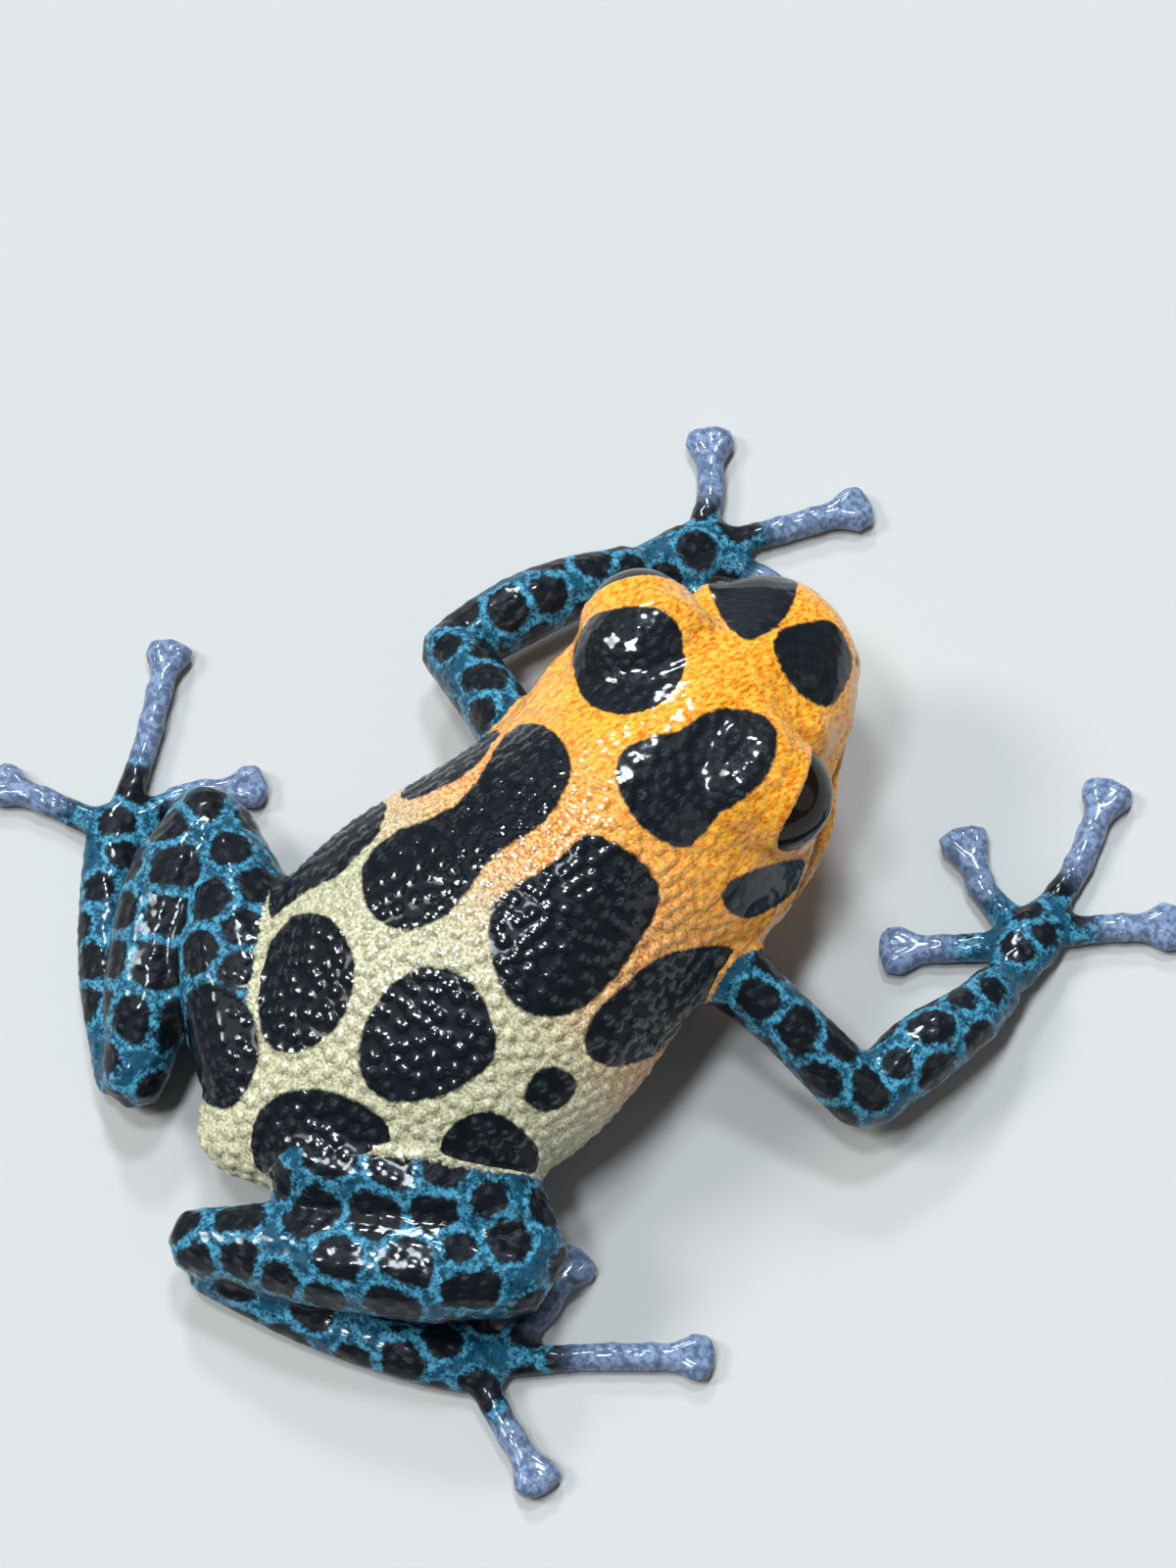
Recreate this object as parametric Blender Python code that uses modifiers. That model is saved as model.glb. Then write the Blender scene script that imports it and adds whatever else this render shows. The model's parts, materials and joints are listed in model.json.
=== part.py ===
"""A mimic poison frog, life size, sitting still with its hands out in front of its snout.

Millimetres are used up to the end, where the finished solids are scaled to metres.
The frog faces -Y, its left side is +X and the floor is z = 0. The origin is the middle
of the flat on which its belly rests.
"""

import math

import bmesh
import bpy
import numpy as np
from mathutils import Vector

# Driving dimensions, in millimetres
BODY_LENGTH = 18.0
SNOUT_Y = -11.85
VENT_Y = SNOUT_Y + BODY_LENGTH
EYE_RADIUS = 1.25
EYE_ACROSS = 2.36
EYES_MIDDLE = (0.7, -7.86)
EYE_Z = 5.05
LID_ACROSS = 1.95
LID_RADII = (1.5, 1.9, 1.6)
LID_Z = 5.25
HEAD_TURN = math.radians(5)
NECK_Y = -5.85
FINGER_RADIUS = 0.33
FINGER_DISC = 0.46
TOE_RADIUS = 0.31
TOE_DISC = 0.42
DIGIT_Z = 0.27
DIGIT_HALF_HEIGHT = 0.31
DIGIT_CUT = 0.86
GAP = 0.05
FLOOR_Z = 0.0
BODY_TRIANGLES = 2100
FOOT_TRIANGLES = 600

# Lines of the body, each read along y: where its middle runs, how high and how wide it is
MIDLINE_X = ((-11.85, 0.80), (-8.0, 0.55), (-5.0, 0.2), (-2.0, 0.0), (2.0, 0.0), (4.2, 0.25), (6.15, 0.75))
WIDEST_Z = ((-11.85, 4.35), (-10.0, 3.85), (-8.0, 3.45), (-5.0, 3.2), (-2.0, 2.9), (2.0, 2.5), (6.15, 2.0))
BACK_Z = ((-11.85, 5.7), (-10.8, 6.0), (-9.0, 6.45), (-7.0, 6.8), (-5.0, 6.8), (-2.5, 6.5), (0.0, 5.95),
          (2.0, 5.25), (4.0, 4.35), (6.15, 3.1))
BELLY_Z = ((-11.85, 3.45), (-10.0, 2.8), (-7.0, 1.95), (-4.0, 1.0), (-2.0, 0.25), (0.3, -0.28), (2.8, -0.25),
           (4.6, 0.25), (6.15, 1.0))
HALF_WIDTH = ((-11.85, 1.9), (-10.9, 2.35), (-10.0, 2.85), (-9.0, 3.3), (-8.0, 3.65), (-7.0, 3.85), (-6.0, 3.82),
              (-5.0, 3.68), (-3.6, 3.8), (-2.0, 4.15), (-0.5, 4.4), (1.2, 4.45), (2.6, 4.0), (4.2, 3.05), (6.15, 1.7))
ROUNDNESS = ((-11.85, 2.1), (-9.5, 1.8), (-7.5, 1.62), (-5.0, 1.85), (-3.0, 2.05), (6.15, 2.1))
BELLY_ROUNDNESS = 2.3
SNOUT_BLUNTNESS = 4.2
VENT_BLUNTNESS = 2.6


def smooth_line(points, at):
    """The height at `at` of a smooth curve through points, which never overshoots between two of them."""
    x = np.array([p[0] for p in points], float)
    y = np.array([p[1] for p in points], float)
    step = np.diff(x)
    slope = np.diff(y) / step
    tangent = np.zeros(len(x))
    tangent[0], tangent[-1] = slope[0], slope[-1]
    for i in range(1, len(x) - 1):
        if slope[i - 1] * slope[i] > 0:
            w1 = 2 * step[i] + step[i - 1]
            w2 = step[i] + 2 * step[i - 1]
            tangent[i] = (w1 + w2) / (w1 / slope[i - 1] + w2 / slope[i])
    at = min(max(at, x[0]), x[-1])
    i = min(int(np.searchsorted(x, at, side="right")) - 1, len(x) - 2)
    t = (at - x[i]) / step[i]
    return ((1 + 2 * t) * (1 - t) ** 2 * y[i] + t * (1 - t) ** 2 * step[i] * tangent[i]
            + t * t * (3 - 2 * t) * y[i + 1] + t * t * (t - 1) * step[i] * tangent[i + 1])


def signed_power(value, power):
    return math.copysign(abs(value) ** power, value)


def clear_scene():
    for obj in list(bpy.data.objects):
        bpy.data.objects.remove(obj)


def new_collection(name):
    collection = bpy.data.collections.new(name)
    bpy.context.scene.collection.children.link(collection)
    return collection


def new_object(name, mesh, collection):
    obj = bpy.data.objects.new(name, mesh)
    collection.objects.link(obj)
    return obj


def ball(sides, rings):
    """A UV sphere of radius 1 as a bmesh, its poles on the z axis."""
    shape = bmesh.new()
    bmesh.ops.create_uvsphere(shape, u_segments=sides, v_segments=rings, radius=1.0)
    return shape


def mesh_of(shape, name):
    bmesh.ops.recalc_face_normals(shape, faces=shape.faces)
    if shape.calc_volume(signed=True) < 0:
        bmesh.ops.reverse_faces(shape, faces=shape.faces)
    mesh = bpy.data.meshes.new(name)
    shape.to_mesh(mesh)
    shape.free()
    return mesh


def body_point(along, turn):
    """A point of the body's surface: along runs from -1 at the snout to 1 at the vent, turn goes round it."""
    y = SNOUT_Y + (along + 1) / 2 * BODY_LENGTH
    bluntness = SNOUT_BLUNTNESS if along < 0 else VENT_BLUNTNESS
    closing = max(0.0, 1 - abs(along) ** bluntness) ** (1 / bluntness)
    middle = smooth_line(WIDEST_Z, y)
    across, up = math.cos(turn), math.sin(turn)
    power = 2 / (smooth_line(ROUNDNESS, y) if up > 0 else BELLY_ROUNDNESS)
    reach = smooth_line(BACK_Z, y) - middle if up > 0 else middle - smooth_line(BELLY_Z, y)
    return Vector((
        smooth_line(MIDLINE_X, y) + smooth_line(HALF_WIDTH, y) * closing * signed_power(across, power),
        y,
        middle + reach * closing * signed_power(up, power),
    ))


def body_mesh():
    shape = ball(44, 40)
    for vertex in shape.verts:
        along = max(-1.0, min(1.0, vertex.co.z))
        vertex.co = body_point(along, math.atan2(vertex.co.y, vertex.co.x))
    return mesh_of(shape, "body")


def ellipsoid(centre, radii, sides=24, rings=16):
    shape = ball(sides, rings)
    for vertex in shape.verts:
        vertex.co = Vector(centre) + Vector(c * r for c, r in zip(vertex.co, radii))
    return mesh_of(shape, "ellipsoid")


def path_point(stations, t):
    """Where a limb's middle runs and its two half thicknesses, t from 0 to 1 along its stations."""
    points = np.array(stations, float)
    lengths = np.linalg.norm(np.diff(points[:, :3], axis=0), axis=1)
    places = np.concatenate([[0.0], np.cumsum(lengths)]) / lengths.sum()
    columns = [smooth_line(list(zip(places, points[:, k])), t) for k in range(5)]
    return np.array(columns), lengths.sum()


def with_round_ends(stations, swell):
    """The stations swollen a little, with one more at each end where the rounding closes."""
    longer = [np.array(station, float) + (0, 0, 0, swell, swell) for station in stations]
    for end, beside in ((0, 1), (-1, -2)):
        outward = longer[end][:3] - longer[beside][:3]
        tip = longer[end].copy()
        tip[:3] += outward / np.linalg.norm(outward) * tip[3]
        longer.insert(0 if end == 0 else len(longer), tip)
    return longer


def limb_mesh(stations, sides=12, rings=12, swell=0.0):
    """A ball drawn out along stations of (x, y, z, half width, half height), with rounded ends."""
    shape = ball(sides, rings)
    stations = with_round_ends(stations, swell)
    _, length = path_point(stations, 0.0)
    first, last = stations[0][3] / length, stations[-1][3] / length
    for vertex in shape.verts:
        height = max(-1.0, min(1.0, vertex.co.z))
        t = 0.35 * math.acos(height) / math.pi + 0.65 * (1 - height) / 2
        start_gap, end_gap = min(1.0, t / first), min(1.0, (1 - t) / last)
        closing = math.sqrt(1 - (1 - start_gap) ** 2) * math.sqrt(1 - (1 - end_gap) ** 2)
        here, _ = path_point(stations, t)
        ahead, _ = path_point(stations, min(1.0, t + 0.02))
        behind, _ = path_point(stations, max(0.0, t - 0.02))
        forward = Vector(ahead[:3] - behind[:3]).normalized()
        side = forward.cross(Vector((0, 0, 1))).normalized()
        up = side.cross(forward)
        turn = math.atan2(vertex.co.y, vertex.co.x)
        vertex.co = (Vector(here[:3]) + side * (here[3] * closing * math.cos(turn))
                     + up * (here[4] * closing * math.sin(turn)))
    return mesh_of(shape, "limb")


def joined(meshes, name):
    """Several closed meshes in one."""
    shape = bmesh.new()
    for mesh in meshes:
        shape.from_mesh(mesh)
    together = bpy.data.meshes.new(name)
    shape.to_mesh(together)
    shape.free()
    return together


def applied(obj):
    """The object's mesh with its modifiers applied, in place of the old one."""
    graph = bpy.context.evaluated_depsgraph_get()
    mesh = bpy.data.meshes.new_from_object(obj.evaluated_get(graph))
    obj.modifiers.clear()
    obj.data = mesh
    return obj


def fused(obj, voxel, smoothing, triangles):
    """Melts overlapping shells into one soft body of about that many triangles."""
    remesh = obj.modifiers.new("fuse", "REMESH")
    remesh.mode = "VOXEL"
    remesh.voxel_size = voxel
    soften = obj.modifiers.new("soften", "SMOOTH")
    soften.iterations = smoothing
    applied(obj)
    count = sum(len(p.vertices) - 2 for p in obj.data.polygons)
    thin = obj.modifiers.new("thin out", "DECIMATE")
    thin.ratio = min(1.0, triangles / count)
    thin.use_collapse_triangulate = True
    return applied(obj)


def boolean(obj, other, operation):
    cut = obj.modifiers.new("cut", "BOOLEAN")
    cut.operation = operation
    cut.solver = "EXACT"
    cut.object = other
    return applied(obj)


def grown(obj, collection, by=GAP):
    """A copy of the solid whose surface stands out by that much, to cut its neighbour with."""
    copy = new_object(obj.name + "_cutter", obj.data.copy(), collection)
    swell = copy.modifiers.new("swell", "DISPLACE")
    swell.strength = by
    swell.mid_level = 0.0
    copy.hide_render = True
    copy.display_type = "WIRE"
    return applied(copy)


def block(name, low, high, collection):
    """A box between two corners, as a cutter."""
    shape = bmesh.new()
    bmesh.ops.create_cube(shape, size=1.0)
    for vertex in shape.verts:
        vertex.co = Vector((a + b) / 2 + c * (b - a) for a, b, c in zip(low, high, vertex.co))
    obj = new_object(name, mesh_of(shape, name), collection)
    obj.hide_render = True
    obj.display_type = "WIRE"
    return obj


def slab(name, at, forward, wide, high, collection):
    """A thin upright plate square to `forward`, to part a digit from its foot."""
    obj = block(name, (-GAP / 2, -wide / 2, -high / 2), (GAP / 2, wide / 2, high / 2), collection)
    turn = math.atan2(forward[1], forward[0])
    for vertex in obj.data.vertices:
        x, y, z = vertex.co
        vertex.co = (at[0] + x * math.cos(turn) - y * math.sin(turn),
                     at[1] + x * math.sin(turn) + y * math.cos(turn), at[2] + z)
    return obj


def material(name, colour, roughness, metallic=0.0):
    made = bpy.data.materials.new(name)
    made.use_nodes = True
    shader = made.node_tree.nodes["Principled BSDF"]
    shader.inputs["Base Color"].default_value = (*colour, 1.0)
    shader.inputs["Roughness"].default_value = roughness
    shader.inputs["Metallic"].default_value = metallic
    made.diffuse_color = (*colour, 1.0)
    return made


def beside_head(side, across, z):
    """A point that far to one side of the head's middle, square to the way the head looks."""
    return (EYES_MIDDLE[0] + side * across * math.cos(HEAD_TURN),
            EYES_MIDDLE[1] - side * across * math.sin(HEAD_TURN), z)


def side_name(side):
    return "left" if side > 0 else "right"


# The limbs' stations, each (x, y, z, half width, half height), for the left (1) and the right (-1) side
UPPER_ARM = {
    1: ((2.6, -4.9, 3.0, 0.9, 0.9), (4.6, -5.35, 2.4, 0.75, 0.8), (6.75, -5.8, 1.5, 0.74, 0.74)),
    -1: ((-2.7, -4.95, 3.0, 0.9, 0.9), (-4.9, -5.3, 2.5, 0.68, 0.75), (-7.1, -5.7, 1.5, 0.74, 0.74)),
}
FOREARM = {
    1: ((6.8, -6.15, 1.4, 0.74, 0.74), (6.65, -7.4, 1.4, 0.8, 0.82), (6.35, -8.9, 1.25, 0.74, 0.72),
        (5.95, -10.25, 0.95, 0.62, 0.58)),
    -1: ((-7.25, -6.0, 1.4, 0.74, 0.74), (-7.2, -7.3, 1.4, 0.83, 0.83), (-7.25, -8.7, 1.2, 0.72, 0.7),
         (-7.1, -9.7, 0.95, 0.6, 0.58)),
}
PALM = {
    1: ((5.85, -10.8, 0.72, 0.55, 0.45), (5.6, -11.8, 0.5, 0.72, 0.5), (5.5, -12.5, 0.38, 0.55, 0.42)),
    -1: ((-6.95, -10.4, 0.72, 0.55, 0.45), (-6.6, -11.3, 0.5, 0.74, 0.5), (-6.45, -12.0, 0.38, 0.55, 0.42)),
}
# Each finger from the palm to the middle of its disc, first finger first
FINGERS = {
    1: (((5.4, -11.6), (4.2, -11.15), (3.45, -10.75)),
        ((5.3, -12.1), (4.0, -12.75), (2.9, -12.8)),
        ((5.35, -12.4), (4.75, -13.8), (4.05, -15.5)),
        ((5.7, -12.2), (6.4, -13.2), (7.45, -14.1))),
    -1: (((-6.3, -10.8), (-5.5, -9.8), (-4.85, -9.0)),
         ((-6.3, -11.3), (-5.1, -11.35), (-3.95, -11.8)),
         ((-6.4, -11.8), (-6.0, -13.2), (-5.1, -15.0)),
         ((-6.7, -11.7), (-7.4, -12.8), (-8.25, -13.85))),
}
THIGH = {
    1: ((1.6, 3.9, 2.4, 1.4, 1.3), (3.4, 2.9, 2.5, 1.5, 1.45), (5.3, 1.7, 2.3, 1.15, 1.2), (6.5, 1.15, 2.1, 0.85, 0.95)),
    -1: ((-1.0, 4.1, 2.4, 1.4, 1.3), (-2.7, 2.9, 2.4, 1.5, 1.45), (-4.4, 2.1, 2.2, 1.15, 1.2),
         (-5.4, 2.2, 2.1, 0.85, 0.95)),
}
SHANK = {
    1: ((6.75, 1.25, 2.15, 0.9, 0.95), (6.0, 2.6, 2.1, 1.25, 1.2), (4.6, 4.5, 1.75, 1.1, 1.05),
        (3.45, 5.95, 1.25, 0.72, 0.8)),
    -1: ((-5.5, 2.75, 2.15, 0.95, 1.0), (-4.4, 3.7, 2.1, 1.32, 1.25), (-2.2, 5.75, 1.85, 1.15, 1.1),
         (-0.45, 7.2, 1.3, 0.75, 0.8)),
}
TARSUS = {
    1: ((3.9, 6.1, 0.68, 0.55, 0.55), (6.1, 4.85, 0.55, 0.55, 0.56), (8.0, 3.2, 0.45, 0.62, 0.5),
        (8.75, 2.45, 0.38, 0.62, 0.42)),
    -1: ((-0.9, 7.35, 0.68, 0.55, 0.55), (-3.2, 6.35, 0.55, 0.55, 0.56), (-5.4, 4.95, 0.45, 0.62, 0.5),
         (-6.2, 4.25, 0.38, 0.62, 0.42)),
}
# Each toe from the foot to the middle of its disc, first toe first
TOES = {
    1: (((7.75, 2.75), (7.05, 2.35), (6.4, 1.95)),
        ((8.2, 2.5), (7.55, 1.6), (6.85, 0.75)),
        ((8.6, 2.3), (8.4, 0.9), (7.6, -0.45)),
        ((8.85, 2.2), (9.75, 0.9), (11.35, -1.1)),
        ((8.8, 2.6), (10.1, 3.15), (11.2, 3.7))),
    -1: (((-5.35, 4.6), (-4.7, 4.2), (-4.05, 3.8)),
         ((-5.8, 4.3), (-5.15, 3.4), (-4.5, 2.55)),
         ((-6.15, 4.1), (-6.15, 2.7), (-5.75, 1.3)),
         ((-6.4, 3.9), (-7.4, 2.5), (-9.0, 0.6)),
         ((-6.3, 4.4), (-7.6, 4.7), (-8.8, 4.9))),
}


def limb(name, stations, collection, cutters):
    """A limb segment, and a slightly fatter cutter of the same shape for its neighbours."""
    cutter = new_object(f"{name}_cutter", limb_mesh(stations, swell=GAP), cutters)
    cutter.hide_render = True
    cutter.display_type = "WIRE"
    return new_object(name, limb_mesh(stations), collection), cutter


def digit_stations(points, radius, disc):
    """Stations of one finger or toe: a thin shaft that ends in a flat round disc."""
    base, middle, tip = (np.array(p, float) for p in points)
    forward = (tip - middle) / np.linalg.norm(tip - middle)
    neck = tip - forward * disc * 1.15
    end = tip + forward * disc * 0.2
    high = DIGIT_HALF_HEIGHT
    return (
        (*base, 0.36, radius * 1.1, high * 1.15),
        (*((base + middle) / 2), 0.32, radius * 1.05, high * 1.05),
        (*middle, DIGIT_Z, radius, high),
        (*neck, DIGIT_Z, radius * 0.98, high),
        (*tip, DIGIT_Z, disc, high),
        (*end, DIGIT_Z, disc * 0.92, high * 0.92),
    )


def foot(name, sole, digits, radius, disc, collection, cutters):
    """A palm or tarsus with its digits, all but parted from it by thin cuts."""
    shells = [limb_mesh(sole, 14, 16)]
    shells += [limb_mesh(digit_stations(d, radius, disc), 10, 24) for d in digits]
    whole = fused(new_object(name, joined(shells, name), collection), 0.1, 3, FOOT_TRIANGLES)
    for number, points in enumerate(digits, 1):
        base, middle = np.array(points[0], float), np.array(points[1], float)
        at = base + (middle - base) * DIGIT_CUT
        plate = slab(f"{name}_plate_{number}", (*at, 0.3), middle - base, 2.6 * radius, 2.0, cutters)
        boolean(whole, plate, "DIFFERENCE")
    return whole


def part_by_islands(whole, tips, digit, collection):
    """Splits the cut foot at its thin cuts: one object for each digit, by the tip that it holds."""
    shape = bmesh.new()
    shape.from_mesh(whole.data)
    left = set(shape.verts)
    islands = []
    while left:
        stack, island = [left.pop()], set()
        while stack:
            vertex = stack.pop()
            island.add(vertex)
            for edge in vertex.link_edges:
                other = edge.other_vert(vertex)
                if other in left:
                    left.discard(other)
                    stack.append(other)
        islands.append(island)
    made = []
    for island in sorted(islands, key=len, reverse=True):
        centre = sum((v.co for v in island), Vector()) / len(island)
        nearest = {n: min((v.co.xy - Vector(tip)).length for v in island) for n, tip in tips.items()}
        number = min(nearest, key=nearest.get)
        name = f"{digit}_{number}" if nearest[number] < 0.3 else whole.name
        piece = bmesh.new()
        copies = {v: piece.verts.new(v.co) for v in island}
        for face in shape.faces:
            if face.verts[0] in copies:
                piece.faces.new([copies[v] for v in face.verts])
        made.append((name, piece, centre))
    shape.free()
    found = {}
    for name, piece, _ in made:
        found[name] = new_object(name + "_piece", mesh_of(piece, name), collection)
    whole_name = whole.name
    bpy.data.objects.remove(whole)
    for name, obj in found.items():
        obj.name = name
    return found, whole_name


def build():
    clear_scene()
    frog = new_collection("mimic_poison_frog")
    cutters = new_collection("cutters")
    skin_orange = material("head skin", (0.95, 0.42, 0.05), 0.4)
    skin_back = material("back skin", (0.09, 0.09, 0.1), 0.35)
    skin_limb = material("limb skin", (0.1, 0.32, 0.42), 0.4)
    skin_digit = material("digit skin", (0.3, 0.33, 0.42), 0.4)
    eye_black = material("eye", (0.01, 0.01, 0.012), 0.08)

    lids = [ellipsoid(beside_head(side, LID_ACROSS, LID_Z), LID_RADII) for side in (1, -1)]
    body = new_object("body", joined([body_mesh(), *lids], "body"), frog)
    fused(body, 0.2, 6, BODY_TRIANGLES)
    body_cutter = grown(body, cutters)

    nodes = {}
    for side in (1, -1):
        where = side_name(side)
        upper, upper_cutter = limb(f"upper_arm_{where}", UPPER_ARM[side], frog, cutters)
        fore, fore_cutter = limb(f"forearm_{where}", FOREARM[side], frog, cutters)
        thigh, thigh_cutter = limb(f"thigh_{where}", THIGH[side], frog, cutters)
        shank, shank_cutter = limb(f"shank_{where}", SHANK[side], frog, cutters)
        boolean(upper, body_cutter, "DIFFERENCE")
        boolean(fore, upper_cutter, "DIFFERENCE")
        boolean(shank, body_cutter, "DIFFERENCE")
        boolean(thigh, body_cutter, "DIFFERENCE")
        boolean(thigh, shank_cutter, "DIFFERENCE")
        hand = foot(f"hand_{where}", PALM[side], FINGERS[side], FINGER_RADIUS, FINGER_DISC, frog, cutters)
        boolean(hand, fore_cutter, "DIFFERENCE")
        tarsus = foot(f"foot_{where}", TARSUS[side], TOES[side], TOE_RADIUS, TOE_DISC, frog, cutters)
        boolean(tarsus, shank_cutter, "DIFFERENCE")
        boolean(tarsus, thigh_cutter, "DIFFERENCE")
        for obj, digits, digit in ((hand, FINGERS, "finger"), (tarsus, TOES, "toe")):
            tips = {n: points[2] for n, points in enumerate(digits[side], 1)}
            found, _ = part_by_islands(obj, tips, f"{digit}_{where}", frog)
            nodes.update(found)
        nodes.update({obj.name: obj for obj in (upper, fore, thigh, shank)})

    floor = block("floor_cutter", (-20, -20, -5), (20, 20, FLOOR_Z), cutters)
    head = body
    head.name = "head"
    trunk = new_object("trunk", body.data.copy(), frog)
    neck_front = block("neck_front", (-10, -20, -5), (10, NECK_Y + GAP / 2, 15), cutters)
    neck_back = block("neck_back", (-10, NECK_Y - GAP / 2, -5), (10, 20, 15), cutters)
    boolean(head, neck_back, "DIFFERENCE")
    boolean(trunk, neck_front, "DIFFERENCE")
    for side in (1, -1):
        where = side_name(side)
        centre = beside_head(side, EYE_ACROSS, EYE_Z)
        eye = new_object(f"eye_{where}", ellipsoid(centre, (EYE_RADIUS,) * 3, 18, 11), frog)
        socket = new_object(f"socket_{where}", ellipsoid(centre, (EYE_RADIUS + GAP,) * 3, 18, 11), cutters)
        socket.hide_render = True
        socket.display_type = "WIRE"
        boolean(head, socket, "DIFFERENCE")
        nodes[eye.name] = eye
    nodes.update({"head": head, "trunk": trunk})

    for name, obj in nodes.items():
        boolean(obj, floor, "DIFFERENCE")
        if name.startswith("eye"):
            finish = eye_black
        elif name == "head":
            finish = skin_orange
        elif name == "trunk":
            finish = skin_back
        elif name.startswith(("finger", "toe")):
            finish = skin_digit
        else:
            finish = skin_limb
        obj.data.materials.clear()
        obj.data.materials.append(finish)
        obj.data.transform(((0.001, 0, 0, 0), (0, 0.001, 0, 0), (0, 0, 0.001, 0), (0, 0, 0, 1)))
        obj.data.shade_smooth()
        obj.data.set_sharp_from_angle(angle=math.radians(50))


build()
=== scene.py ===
# %% [markdown]
# # A mimic poison frog, life size
#
# The real animal is 18 mm long, sits with its belly on the floor and looks wet all over. Its skin is
# one closed sheet: orange and finely grained on the head, dark blotches between pale stripes on the
# back, a turquoise net on the limbs and lilac fingers. The solids of the frame give the true outline,
# so they are melted into one skin here, and the markings are laid on that skin as distances that the
# material reads. The eyes stay pieces of their own.

# %% Load the frame
import json
import math
import random

import bpy
import numpy as np
from mathutils import Matrix, Vector
from mathutils.bvhtree import BVHTree
from mathutils.kdtree import KDTree

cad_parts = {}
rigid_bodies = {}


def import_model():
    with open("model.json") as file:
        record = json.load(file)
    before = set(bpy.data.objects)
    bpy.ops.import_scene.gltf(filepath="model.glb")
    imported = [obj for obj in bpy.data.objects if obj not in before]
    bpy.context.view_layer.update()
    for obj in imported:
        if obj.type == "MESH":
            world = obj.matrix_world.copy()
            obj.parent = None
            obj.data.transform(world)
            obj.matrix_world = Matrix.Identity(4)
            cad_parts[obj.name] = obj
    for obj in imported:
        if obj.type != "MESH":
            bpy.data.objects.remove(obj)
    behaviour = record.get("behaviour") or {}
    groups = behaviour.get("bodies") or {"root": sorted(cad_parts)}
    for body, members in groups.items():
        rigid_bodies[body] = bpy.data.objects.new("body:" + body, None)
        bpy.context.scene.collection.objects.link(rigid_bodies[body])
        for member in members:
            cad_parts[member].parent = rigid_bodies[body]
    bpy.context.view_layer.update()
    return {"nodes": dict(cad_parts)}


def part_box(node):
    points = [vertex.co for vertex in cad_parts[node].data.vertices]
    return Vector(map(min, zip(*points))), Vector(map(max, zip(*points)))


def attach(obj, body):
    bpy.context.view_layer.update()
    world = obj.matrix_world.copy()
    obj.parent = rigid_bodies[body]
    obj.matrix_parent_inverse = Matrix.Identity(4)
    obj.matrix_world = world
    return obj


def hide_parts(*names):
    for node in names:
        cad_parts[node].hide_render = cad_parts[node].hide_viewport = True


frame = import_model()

MM = 0.001
RANDOM = random.Random(7)

# %% [markdown]
# ## The camera
#
# The photo looks down on the frog from behind its right hip, 66 degrees above the horizon. A long lens
# a hand's breadth away gives the same framing. Its directions are kept, because the markings that
# the photo shows are placed by their pixels and have to be carried to the skin along its rays.

# %% Set up the camera
PHOTO_WIDE, PHOTO_HIGH = 1200, 1600
AZIMUTH, ELEVATION = 229.636, 66.0
CAMERA_MM = np.array([-29.833, 21.327, 96.211])
LENS, SENSOR = 106.875, 36.0
PIXELS = LENS / SENSOR * PHOTO_HIGH

bpy.ops.object.camera_add(
    location=CAMERA_MM * MM,
    rotation=(math.radians(90 - ELEVATION), 0, math.radians(AZIMUTH)),
)
camera = bpy.context.object
camera.data.lens, camera.data.sensor_width = LENS, SENSOR
camera.data.clip_start, camera.data.clip_end = 0.002, 10
bpy.context.scene.camera = camera
bpy.context.view_layer.update()
turned = np.array(camera.matrix_world.to_3x3())
RIGHT, UP, FORWARD = turned[:, 0], turned[:, 1], -turned[:, 2]
print("camera looks along", FORWARD.round(3))


def in_photo(points):
    """Pixels of the photo for an array of points in millimetres, and each one's depth along the view."""
    offset = points - CAMERA_MM
    depth = offset @ FORWARD
    across, up = offset @ RIGHT / depth, offset @ UP / depth
    return np.stack([PHOTO_WIDE / 2 + PIXELS * across, PHOTO_HIGH / 2 - PIXELS * up], 1), depth


def ray(pixel):
    """The way from the camera through a pixel of the photo."""
    x, y = (pixel[0] - PHOTO_WIDE / 2) / PIXELS, (PHOTO_HIGH / 2 - pixel[1]) / PIXELS
    way = FORWARD + x * RIGHT + y * UP
    return Vector(way / np.linalg.norm(way))


# %% [markdown]
# ## One skin out of many solids
#
# On the frog nothing parts the head from the trunk or the finger from the hand. The solids could be
# bridged ring by ring, but a voxel remesh does it in one go: the copies are swollen until the thin
# cuts close, melted together, and taken back. The eyes' inner walls stay behind as loose bits, so
# only the sheet that holds the highest point is kept. Until the piece is done all sizes are in
# millimetres.

# %% Gather and melt the flesh
VOXEL = 0.102
SWELL = 0.045
WELD = 0.001


def only(obj):
    """Selects one object and makes it the active one."""
    bpy.ops.object.select_all(action="DESELECT")
    obj.select_set(True)
    bpy.context.view_layer.objects.active = obj


def modify(obj, kind, **settings):
    """Adds a modifier and applies it at once."""
    only(obj)
    bpy.ops.object.modifier_add(type=kind)
    modifier = obj.modifiers[-1]
    for key, value in settings.items():
        setattr(modifier, key, value)
    bpy.ops.object.modifier_apply(modifier=modifier.name)


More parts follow.
